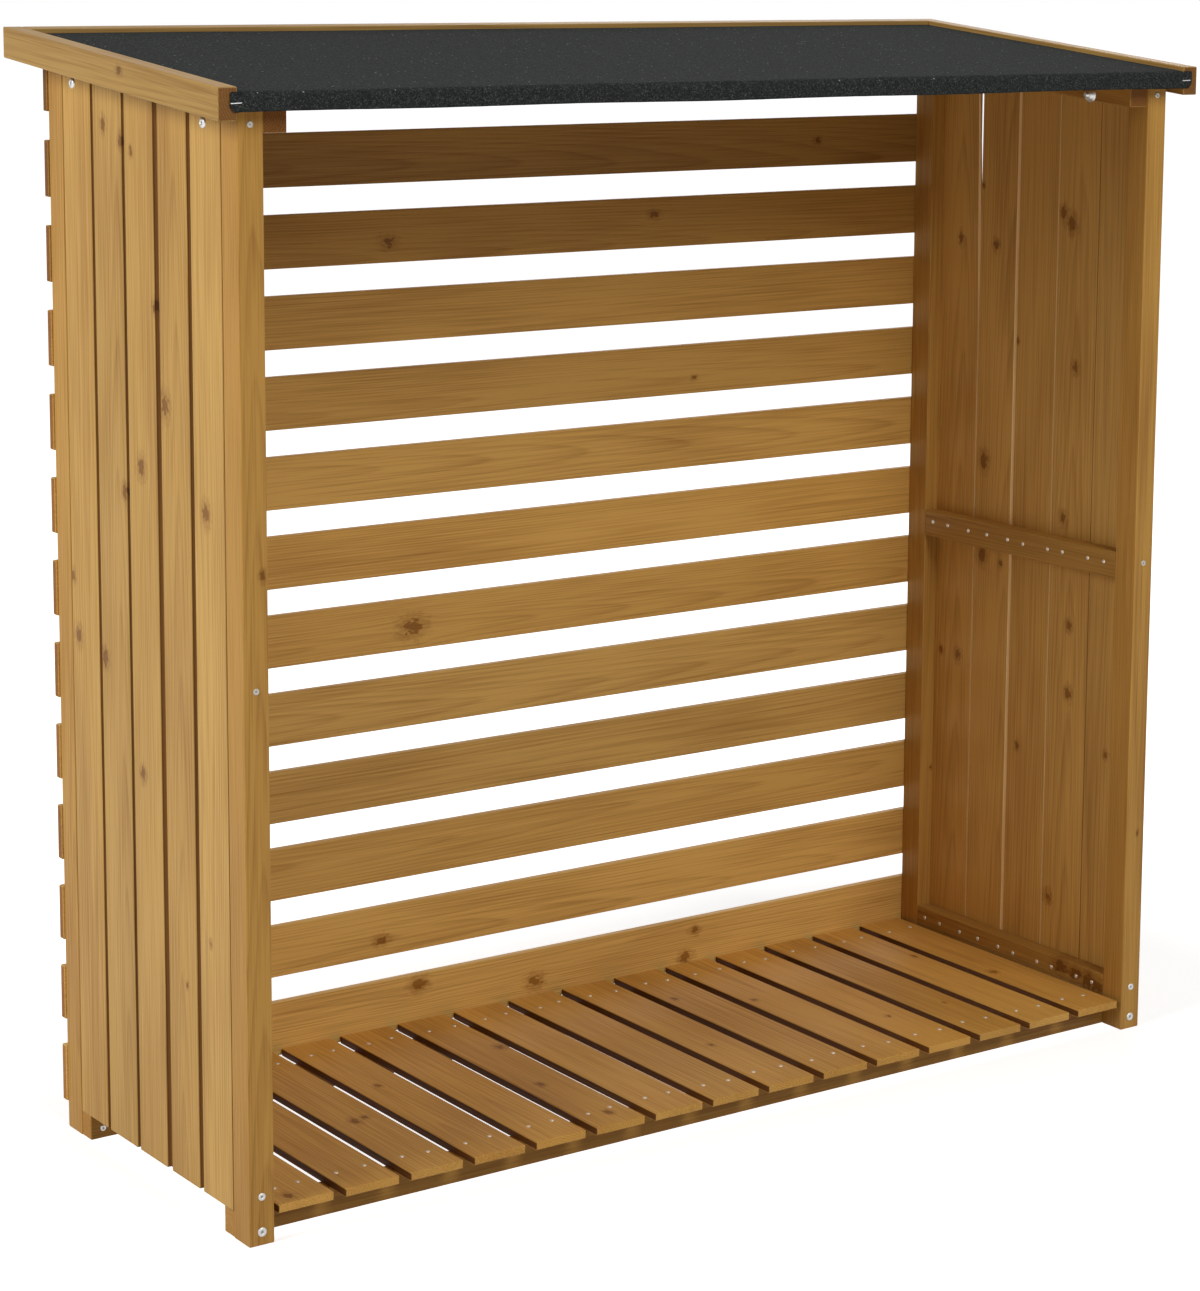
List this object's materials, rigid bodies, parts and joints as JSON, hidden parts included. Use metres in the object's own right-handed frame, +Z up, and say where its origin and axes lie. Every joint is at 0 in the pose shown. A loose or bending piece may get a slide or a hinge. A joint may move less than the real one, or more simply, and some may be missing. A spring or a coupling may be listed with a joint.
{
  "type": "log store",
  "caption": "Open-fronted timber log store: slatted floor and back, tongue-and-groove side boards between corner posts, and a felted pent roof that falls to the front",
  "frame": {"origin": "on the ground, in the middle of the plan outline", "axes": "+Z up, +X along the width to the right as seen from the front, -Y out of the open front"},
  "size_m": [1.574, 0.592, 1.4827],
  "materials": {
    "frame_timber": "planed softwood, honey-brown stain",
    "side_boards": "tongue-and-groove softwood, honey-brown stain",
    "slats": "planed softwood slats, honey-brown stain",
    "deck_board": "roof deck boarding",
    "roofing_felt": "mineral-faced bitumen roofing felt"
  },
  "bodies": {
    "root": {"left_front_post": "frame_timber", "right_front_post": "frame_timber", "left_rear_post": "frame_timber", "right_rear_post": "frame_timber", "left_board_1": "side_boards", "left_board_2": "side_boards", "left_board_3": "side_boards", "left_board_4": "side_boards", "left_board_5": "side_boards", "right_board_1": "side_boards", "right_board_2": "side_boards", "right_board_3": "side_boards", "right_board_4": "side_boards", "right_board_5": "side_boards", "left_bottom_batten": "frame_timber", "left_middle_batten": "frame_timber", "left_top_batten": "frame_timber", "right_bottom_batten": "frame_timber", "right_middle_batten": "frame_timber", "right_top_batten": "frame_timber", "floor_front_rail": "frame_timber", "floor_rear_rail": "frame_timber", "floor_slats": "slats", "back_slat_01": "slats", "back_slat_02": "slats", "back_slat_03": "slats", "back_slat_04": "slats", "back_slat_05": "slats", "back_slat_06": "slats", "back_slat_07": "slats", "back_slat_08": "slats", "back_slat_09": "slats", "back_slat_10": "slats", "back_slat_11": "slats", "back_slat_12": "slats", "back_slat_13": "slats", "roof_deck": "deck_board", "roof_felt": "roofing_felt", "roof_left_fascia": "frame_timber", "roof_right_fascia": "frame_timber", "roof_rear_fascia": "frame_timber", "roof_left_bearer": "frame_timber", "roof_right_bearer": "frame_timber"}
  },
  "joints": []
}
